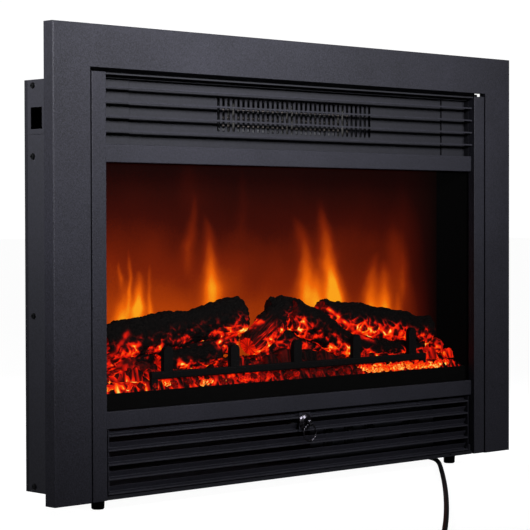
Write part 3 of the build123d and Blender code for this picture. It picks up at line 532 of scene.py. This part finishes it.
def add_bar(mesh, start, end, start_radii, end_radii, seed, vigour, ragged, end_glow, fibres=0.0):
    """One charred bar of a moulded log: tapered, lumpy, with furrowed bark, char cracks and rough ends."""
    places, heats, faces = mesh
    first, last = spot(*start), spot(*end)
    axis = last - first
    along = axis.normalized()
    across = Vector((0, 0, 1)).cross(along).normalized()
    up = along.cross(across)
    rings = round(axis.length / BARK_PITCH)
    base = len(places)

    def add_ring(t, shrink, outward):
        radius_y = (start_radii[0] + (end_radii[0] - start_radii[0]) * t) * MM
        radius_z = (start_radii[1] + (end_radii[1] - start_radii[1]) * t) * MM
        centre = first + axis * t
        for step in range(BARK_AROUND):
            angle = 2 * math.pi * step / BARK_AROUND
            spoke = across * math.cos(angle) * radius_y + up * math.sin(angle) * radius_z
            skin = centre + spoke
            crack = char_cracks(skin, seed, along)
            shift = bark_shift(skin, along, crack, seed)
            edge_round = 1 - 0.14 * (1 - soft_step(min(t, 1 - t) * axis.length, 0, 4.5 * MM))
            place = centre + (spoke + spoke.normalized() * shift) * shrink * edge_round
            if shrink < 1:
                ring_grain = Vector((math.cos(angle) * 3, math.sin(angle) * 3, shrink * 1.5 + seed))
                place += outward * along * ((1 - shrink) * 1.2 + noise.noise(ring_grain) * 0.8) * MM
            if outward < 0 and ragged:
                tooth = Vector((math.cos(angle) * 2.2, math.sin(angle) * 2.2, shrink * 2 + seed))
                place -= along * noise.fractal(tooth, 0.6, 2.0, 3) * ragged * MM * min(shrink * 1.4, 1)
            height = 0.5 + 0.5 * (place.z - centre.z) / radius_z
            heat = log_heat(place, crack, height, seed, vigour)
            if shrink < 1 and outward < 0 and end_glow:
                ray = Vector((math.cos(angle) * 5, math.sin(angle) * 5, shrink * 0.7))
                streak = 0.5 + 0.9 * noise.noise(ray)
                heat = max(heat * 0.6, end_glow * (0.45 + 0.75 * streak) * (0.65 + 0.35 * shrink))
            if fibres:
                strand = Vector((angle * 7.0, t * 2.4, seed))
                grain_heat = fibres * (0.42 + 0.85 * noise.fractal(strand, 0.7, 2.0, 3))
                bare = (1 - soft_step(t, 0.38, 0.72)) * (1 - soft_step(height, 0.60, 0.98))
                heat = max(heat, grain_heat * bare)
            places.append(keep_inside(place))
            heats.append(min(max(heat, 0.0), 1.0))

    for step in range(CAP_STEPS, 0, -1):
        add_ring(0.0, 1 - step / (CAP_STEPS + 1), -1)
    for step in range(rings + 1):
        add_ring(step / rings, 1.0, -1 if step == 0 else 1 if step == rings else 0)
    for step in range(1, CAP_STEPS + 1):
        add_ring(1.0, 1 - step / (CAP_STEPS + 1), 1)
    ring_count = rings + 1 + 2 * CAP_STEPS
    for ring in range(ring_count - 1):
        for step in range(BARK_AROUND):
            after = (step + 1) % BARK_AROUND
            low, high = base + ring * BARK_AROUND, base + (ring + 1) * BARK_AROUND
            faces.append((low + step, low + after, high + after, high + step))
    faces.append(tuple(range(base, base + BARK_AROUND)))
    top = base + (ring_count - 1) * BARK_AROUND
    faces.append(tuple(range(top, top + BARK_AROUND)))


def build_log(name, bars):
    mesh = ([], [], [])
    for bar in bars:
        add_bar(mesh, *bar)
    places, heats, faces = mesh
    return finish_fire_piece("bark_" + name, places, faces, heats, name)


# each bar: start and end (x, y, z) in millimetres as spot() takes them, radii (depth, height) at both ends,
# seed, vigour of the glow, raggedness and glow of the first end, glow of bare fibres near it
log_plans = {
    "log_back_left": [
        ((92, 40.5, 157), (298, 41.0, 184), (17.5, 24), (16.5, 22), 1.7, 1.0, 9.0, 0.5),
        ((98, 45.0, 139), (292, 47.0, 158), (13.0, 17), (11.0, 17), 2.9, 1.25, 4.0, 0.5),
    ],
    "log_back_right": [
        ((424, 41.5, 182), (614, 40.5, 152), (16.5, 21), (16.0, 21), 4.2, 1.0, 3.0, 0.3),
        ((418, 47.0, 156), (604, 45.0, 138), (11.0, 19), (12.0, 13), 5.6, 1.1, 2.0, 0.3),
    ],
    "log_centre": [
        ((299, 31.0, 149), (372, 46.0, 190), (15.5, 16.5), (13.0, 22), 7.9, 0.9, 0.0, 0.66, 0.78),
        ((346, 46.5, 181), (398, 46.5, 184), (12.0, 23), (12.0, 19), 21.4, 0.4, 0.0, 0.1),
        ((322, 47.0, 150), (424, 47.0, 152), (11.5, 25), (11.5, 24), 9.1, 1.15, 0.0, 0.3),
    ],
    "log_front_right": [
        ((372, 38.5, 184), (474, 33.0, 139), (15.0, 22), (11.5, 17), 11.3, 1.0, 2.0, 0.25),
    ],
    "log_low_left": [
        ((165, 32.0, 137), (254, 33.0, 142), (10.5, 14), (11.0, 14), 14.8, 1.25, 4.0, 0.6),
    ],
    "log_low_right": [
        ((472, 33.0, 138), (588, 32.5, 134), (11.0, 13), (10.5, 12), 18.1, 1.1, 4.0, 0.5),
    ],
}


def bed_level(x, y):
    """Height of the ember bed over the surround's lower edge, in millimetres."""
    depth = between(y, [(14.8, 112.0), (19.8, 121.0), (34.8, 133.0), (60.7, 139.0)])
    from_end = min(x - 73.5, 651.0 - x)
    slope = 113.0 + 31.0 * from_end / 62.0
    return min(depth, slope)


def ember_heat(x, y):
    """How hot the embers are from left to right; the row in front is the hottest."""
    row = between(x, [
        (85, 0.92), (118, 0.78), (150, 0.66), (250, 0.66), (340, 0.52), (365, 0.34),
        (455, 0.34), (474, 0.94), (584, 0.96), (604, 0.70), (655, 0.60), (690, 0.30),
    ])
    return row * between(y, [(18.0, 1.0), (30.0, 0.78), (45.0, 0.6)])


CRUST_X = (74.0, 650.5)
CRUST_Y = (14.9, 60.4)
CRUST_PITCH = 1.7


def lay_crust(places, heats, faces):
    """The bed's uneven crust, with a skirt down to the liner and a flat underside."""
    low_x, high_x = CRUST_X
    low_y, high_y = CRUST_Y
    columns = round((high_x - low_x) / CRUST_PITCH)
    rows = round((high_y - low_y) / CRUST_PITCH)
    for row in range(rows + 1):
        for column in range(columns + 1):
            x = low_x + (high_x - low_x) * column / columns
            y = low_y + (high_y - low_y) * row / rows
            cells = noise.voronoi(Vector((x * 0.12, y * 0.12, 0.5)))[0]
            valley = 1 - soft_step(cells[1] - cells[0], 0.0, 0.35)
            rough = noise.fractal(Vector((x, y, 0)) * 0.13, 0.8, 2.0, 3)
            z = bed_level(x, y) - 1.6 - 1.8 * valley + 0.9 * rough
            heat = ember_heat(x, y) * (0.15 + 0.75 * valley + 0.7 * rough)
            places.append(spot(x, y, z))
            heats.append(min(max(heat, 0.0), 1.0))
    width = columns + 1
    for row in range(rows):
        for column in range(columns):
            corner = row * width + column
            faces.append((corner, corner + 1, corner + width + 1, corner + width))
    rim = list(range(width))
    rim += [row * width + columns for row in range(1, rows + 1)]
    rim += [rows * width + column for column in range(columns - 1, -1, -1)]
    rim += [row * width for row in range(rows - 1, 0, -1)]
    foot = len(places)
    for index in rim:
        below = places[index].copy()
        below.z = LINER + 1.6 * MM
        places.append(below)
        heats.append(0.0)
    for step in range(len(rim)):
        after = (step + 1) % len(rim)
        faces.append((rim[step], foot + step, foot + after, rim[after]))
    faces.append(tuple(range(foot, foot + len(rim))))


# big lumps placed one by one: x, y, z, size, heat
LUMPS = [
    (104, 27, 121, 13, 0.62), (127, 29, 125, 15, 0.60), (149, 27, 123, 12, 0.55), (98, 38, 138, 12, 0.50),
    (121, 40, 138, 13, 0.34), (618, 32, 136, 11, 0.60), (634, 27, 126, 9, 0.66), (606, 44, 150, 10, 0.42),
    (622, 47, 142, 10, 0.46), (600, 26, 128, 9, 0.66), (641, 40, 123, 8, 0.50), (330, 27, 130, 12, 0.24),
    (352, 30, 136, 13, 0.22), (414, 27, 130, 11, 0.24), (280, 30, 132, 12, 0.42), (390, 30, 134, 14, 0.14),
]
SLOT_TOP = LOWER + 120.7 * MM  # coals in the slot under the grate's bar stay below it


def heap_coals(places, heats, faces):
    """Lumps of coal heaped over the bed's front and its sloping ends."""
    dice = random.Random(5)
    ball = bmesh.new()
    bmesh.ops.create_icosphere(ball, subdivisions=3, radius=1.0)
    ball_places = [vertex.co.copy() for vertex in ball.verts]
    ball_faces = [[vertex.index for vertex in face.verts] for face in ball.faces]
    ball.free()

    def add_coal(x, y, z, size, heat):
        start = len(places)
        squash = Vector((dice.uniform(0.8, 1.45), dice.uniform(0.75, 1.1), dice.uniform(0.6, 0.95)))
        turn = Matrix.Rotation(dice.uniform(0, math.pi), 3, "Z")
        turn = turn @ Matrix.Rotation(dice.uniform(-0.5, 0.5), 3, "X")
        key = Vector((dice.uniform(0, 90), dice.uniform(0, 90), 0))
        for corner in ball_places:
            facet = noise.voronoi(corner * 1.1 + key)[0]
            uneven = noise.fractal(corner * 1.7 + key, 0.7, 2.0, 3)
            dent = 0.22 * uneven - 0.30 * max(0.45 - facet[1] + facet[0], 0)
            bump = corner * (1 + dent)
            moved = turn @ Vector((bump.x * squash.x, bump.y * squash.y, bump.z * squash.z))
            place = spot(x, y, z) + moved * size * MM
            place.y = min(max(place.y, FACE + 14.7 * MM), SCREEN)
            if place.y < LOG_FRONT:
                place.z = min(place.z, SLOT_TOP)
            place.z = max(place.z, LINER + 2 * MM)
            crust = noise.fractal(corner * 2.6 + key, 0.6, 2.0, 3)
            patchy = 0.45 + 0.13 * max(size - 5.0, 0.0)
            warm = min(heat, 1.0) * (0.88 + patchy * crust) * (1.0 - 0.30 * max(corner.z, 0))
            places.append(place)
            heats.append(min(max(warm, 0.0), 1.0))
        faces.extend([[start + index for index in face] for face in ball_faces])

    for _ in range(78):  # the row in the slot under the grate's bar
        x = dice.uniform(80, 646)
        size = dice.uniform(3.2, 5.6)
        heat = ember_heat(x, 17)
        if 135 < x < 262:
            heat = 1.1 if dice.random() < 0.40 else 0.36
        elif x > 470:
            heat *= dice.uniform(1.05, 1.45)
        elif x < 125:
            heat *= dice.uniform(0.9, 1.35)
        else:
            heat *= dice.uniform(0.3, 1.35)
        add_coal(x, dice.uniform(16.4, 18.6), dice.uniform(113.0, 116.6), size, heat)
    for _ in range(26):  # the hottest stretch
        x, y = dice.uniform(472, 582), dice.uniform(15.8, 17.4)
        add_coal(x, y, dice.uniform(113.5, 116.5), dice.uniform(4.4, 6.0), 1.1)
    for _ in range(92):  # behind the grate, up to the foot of the logs
        x = dice.uniform(84, 640)
        y = dice.uniform(23.0, 36.0)
        heat = ember_heat(x, y) * dice.uniform(0.15, 1.05)
        add_coal(x, y, bed_level(x, y) + dice.uniform(-1.0, 2.0), dice.uniform(4.5, 7.5), heat)
    for lump in LUMPS:
        add_coal(*lump)


def build_embers():
    places, heats, faces = [], [], []
    lay_crust(places, heats, faces)
    heap_coals(places, heats, faces)
    return finish_fire_piece("coals", places, faces, heats, "ember_bed")


def glowing_char(name, ash):
    """Charred wood or coal that glows with the heat laid over its mesh."""
    made, tree, shader, where = new_material(name)
    reading = tree.nodes.new("ShaderNodeAttribute")
    reading.attribute_name = "ember_glow"
    fine = noise_node(tree, where, 420.0, 4.0, 0.7)
    flicker = range_node(tree, noise_node(tree, where, 95.0, 2.0, 0.5), 0.3, 0.7, 0.88, 1.14)
    heat = math_node(tree, "MULTIPLY", reading.outputs["Fac"], flicker, clamp=True)
    colour = ramp_node(tree, heat, [
        (0.00, (0.0, 0.0, 0.0)),
        (0.10, (0.004, 0.0002, 0.0001)),
        (0.28, (0.070, 0.0010, 0.0004)),
        (0.48, (0.44, 0.004, 0.0006)),
        (0.68, (1.0, 0.014, 0.001)),
        (0.82, (1.0, 0.075, 0.003)),
        (0.92, (1.0, 0.32, 0.012)),
        (1.00, (1.0, 0.78, 0.17)),
    ])
    tree.links.new(colour, shader.inputs["Emission Color"])
    shader.inputs["Emission Strength"].default_value = 1.0
    dark = ramp_node(tree, fine, [(0.35, (0.0006, 0.0005, 0.0005)), (0.75, ash)])
    tree.links.new(dark, shader.inputs["Base Color"])
    shader.inputs["Roughness"].default_value = 0.85
    shader.inputs["Specular IOR Level"].default_value = 0.02
    add_bump(tree, shader, fine, 0.6, 0.0006)
    return made


char = glowing_char("charred_bark", (0.0040, 0.0030, 0.0026))
coal = glowing_char("glowing_coal", (0.0044, 0.0032, 0.0028))
for name, bars in log_plans.items():
    dress(build_log(name, bars), char)
dress(build_embers(), coal)


# ---------------------------------------------------------------- flame picture on the screen
def tongue_group():
    """Node group for one flame tongue: a soft upright streak from base to tip that bends and narrows."""
    group = bpy.data.node_groups.new("flame_tongue", "ShaderNodeTree")
    for name in ("X", "Z", "Base X", "Base Z", "Tip X", "Tip Z", "Width", "Bend", "Heat"):
        group.interface.new_socket(name, in_out="INPUT", socket_type="NodeSocketFloat")
    group.interface.new_socket("Heat", in_out="OUTPUT", socket_type="NodeSocketFloat")
    given = group.nodes.new("NodeGroupInput").outputs
    result = group.nodes.new("NodeGroupOutput").inputs
    height = math_node(group, "SUBTRACT", given["Tip Z"], given["Base Z"])
    rise = math_node(group, "DIVIDE", math_node(group, "SUBTRACT", given["Z"], given["Base Z"]), height)
    t = math_node(group, "ADD", rise, 0.0, clamp=True)
    left = math_node(group, "SUBTRACT", 1.0, t)
    lean = math_node(group, "MULTIPLY", math_node(group, "SUBTRACT", given["Tip X"], given["Base X"]), t)
    arch = math_node(group, "MULTIPLY", t, left)
    bow = math_node(group, "MULTIPLY", arch, math_node(group, "MULTIPLY", given["Bend"], 4.0))
    centre = math_node(group, "ADD", math_node(group, "ADD", given["Base X"], lean), bow)
    taper = math_node(group, "POWER", math_node(group, "ADD", left, 0.04), 0.42)
    width = math_node(group, "MULTIPLY", given["Width"], taper)
    off = math_node(group, "DIVIDE", math_node(group, "SUBTRACT", given["X"], centre), width)
    spread = math_node(group, "POWER", 0.45, math_node(group, "MULTIPLY", off, off))
    fade = math_node(group, "POWER", left, 0.85)
    low_fade = range_node(group, rise, -0.6, 0.05, 0.0, 1.0)
    lit = math_node(group, "MULTIPLY", math_node(group, "MULTIPLY", spread, fade), low_fade)
    group.links.new(math_node(group, "MULTIPLY", lit, given["Heat"]), result["Heat"])
    return group


# each tongue: base x, base z, tip x, tip z, half width, sideways bow, heat; millimetres from the
# surround's left and lower edges
tongues = [
    (134, 228, 134, 250, 2.4, 0.0, 0.20),
    (147, 212, 147, 262, 3.2, 0.0, 0.30),
    (139, 182, 139, 228, 9.5, 0.0, 0.36),
    (161, 194, 161, 238, 9.5, 0.5, 0.56),
    (181, 188, 178, 248, 3.6, 0.0, 0.24),
    (234, 262, 243, 326, 8.5, 2.0, 0.20),
    (272, 212, 256, 302, 11.5, 5.0, 0.46),
    (421, 200, 398, 300, 15.0, 9.0, 0.46),
    (440, 192, 440, 236, 9.0, 0.0, 0.30),
    (468, 198, 447, 318, 13.0, -3.0, 0.58),
    (466, 192, 463, 240, 19.0, 0.0, 0.22),
    (533, 182, 541, 254, 13.0, -2.0, 0.46),
    (558, 180, 554, 244, 11.5, 1.0, 0.46),
    (575, 222, 570, 305, 16.0, 0.0, 0.12),
    (592, 210, 587, 256, 9.0, 0.0, 0.12),
    (583, 176, 582, 204, 6.0, 0.0, 0.20),
    (318, 296, 318, 356, 9.0, 0.0, 0.07),
    (236, 316, 236, 366, 17.0, 0.0, 0.07),
]


PER_METRE = 1000.0  # millimetres
WAVER = 22.0  # mm; how far the tongues' edges wander


def flame_material():
    """The picture on the screen: a glow that rises from the logs, with the tongues added to it."""
    made, tree, shader, where = new_material("flame_screen")
    split = tree.nodes.new("ShaderNodeSeparateXYZ")
    tree.links.new(where, split.inputs[0])
    along = math_node(tree, "MULTIPLY", math_node(tree, "SUBTRACT", split.outputs["X"], LEFT), PER_METRE)
    height = math_node(tree, "MULTIPLY", math_node(tree, "SUBTRACT", split.outputs["Z"], LOWER), PER_METRE)
    drift = math_node(tree, "SUBTRACT", noise_node(tree, where, 17.0, 2.0), 0.5)
    wavy = math_node(tree, "ADD", along, math_node(tree, "MULTIPLY", drift, WAVER))
    # glow that thins out upwards and towards the right
    base = math_node(tree, "POWER", range_node(tree, height, 385.0, 165.0, 0.0, 1.0), 1.15)
    slant = range_node(tree, along, 100.0, 600.0, 1.0, 0.72)
    glow = math_node(tree, "MULTIPLY", base, slant)
    cloud = range_node(tree, noise_node(tree, where, 9.0, 2.0), 0.3, 0.7, 0.82, 1.14)
    heat = math_node(tree, "MULTIPLY", math_node(tree, "MULTIPLY", glow, cloud), 0.76)
    group = tongue_group()
    for numbers in tongues:
        node = tree.nodes.new("ShaderNodeGroup")
        node.node_tree = group
        for key, number in zip(("Base X", "Base Z", "Tip X", "Tip Z", "Width", "Bend", "Heat"), numbers):
            node.inputs[key].default_value = number
        tree.links.new(wavy, node.inputs["X"])
        tree.links.new(height, node.inputs["Z"])
        heat = math_node(tree, "ADD", heat, node.outputs[0])
    speckle = range_node(tree, noise_node(tree, where, 900.0, 2.0), 0.3, 0.7, -0.03, 0.03)
    heat = math_node(tree, "ADD", heat, speckle)
    edge = range_node(tree, along, 655.0, 590.0, 0.0, 1.0)
    heat = math_node(tree, "MULTIPLY", heat, edge, clamp=True)
    colour = ramp_node(tree, heat, [
        (0.00, (0.0020, 0.0002, 0.0)),
        (0.10, (0.010, 0.0006, 0.0002)),
        (0.26, (0.046, 0.0026, 0.0005)),
        (0.46, (0.185, 0.0135, 0.0009)),
        (0.66, (0.47, 0.052, 0.0010)),
        (0.84, (0.88, 0.135, 0.0013)),
        (1.00, (1.0, 0.37, 0.010)),
    ])
    shader.inputs["Base Color"].default_value = (0.0006, 0.0003, 0.0002, 1.0)
    shader.inputs["Roughness"].default_value = 0.6
    shader.inputs["Specular IOR Level"].default_value = 0.0
    tree.links.new(colour, shader.inputs["Emission Color"])
    shader.inputs["Emission Strength"].default_value = 1.0
    return made


dress(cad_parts["flame_screen"], flame_material())


# ---------------------------------------------------------------- dark strips behind the grille's two open joints, painted shade
# in millimetres
HALF_JOINT = 0.6
STRIP_GAP = 0.3  # behind the slotted panel's rear face
STRIP_SHEET = 0.6
STRIP_FOLD = 5.0  # depth of the folded edge
STRIP_REACH = 6.5  # to each side of the joint


def build_joint_shade_strip(name, side):
    """Folded strip behind the open joint between the slotted panel and a cheek; it blocks stray light, and
    its near-black colour is painted shade in the joint.
    """
    low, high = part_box("outlet_panel")
    joint = high.x + HALF_JOINT * MM
    inner, outer = -STRIP_REACH, STRIP_REACH
    profile = [
        (inner, STRIP_GAP),
        (outer, STRIP_GAP),
        (outer, STRIP_GAP + STRIP_SHEET),
        (inner + STRIP_SHEET, STRIP_GAP + STRIP_SHEET),
        (inner + STRIP_SHEET, STRIP_FOLD),
        (inner, STRIP_FOLD),
    ]
    shape = bmesh.new()
    ends = []
    for level in (low.z, high.z):
        ends.append([
            shape.verts.new((side * (joint + across * MM), high.y + back * MM, level))
            for across, back in profile
        ])
    for step in range(len(profile)):
        after = (step + 1) % len(profile)
        shape.faces.new((ends[0][step], ends[0][after], ends[1][after], ends[1][step]))
    for end in ends:
        shape.faces.new(end)
    bmesh.ops.recalc_face_normals(shape, faces=shape.faces[:])
    bmesh.ops.bevel(shape, geom=shape.edges[:], offset=0.12 * MM, segments=2, affect="EDGES")
    mesh = bpy.data.meshes.new(name)
    shape.to_mesh(mesh)
    shape.free()
    piece = bpy.data.objects.new(name, mesh)
    bpy.context.collection.objects.link(piece)
    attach(piece, "casing")
    return piece


# near-black colour of the joint strips: painted shade in the grille's open joints
joint_shade_black = surface(
    "joint_painted_shade", (0.004, 0.004, 0.004), 0.85, specular=0.05, grain=950, contrast=0.4, relief=0.8
)
for name, side in (("joint_strip_left", -1), ("joint_strip_right", 1)):
    dress(build_joint_shade_strip(name, side), joint_shade_black)
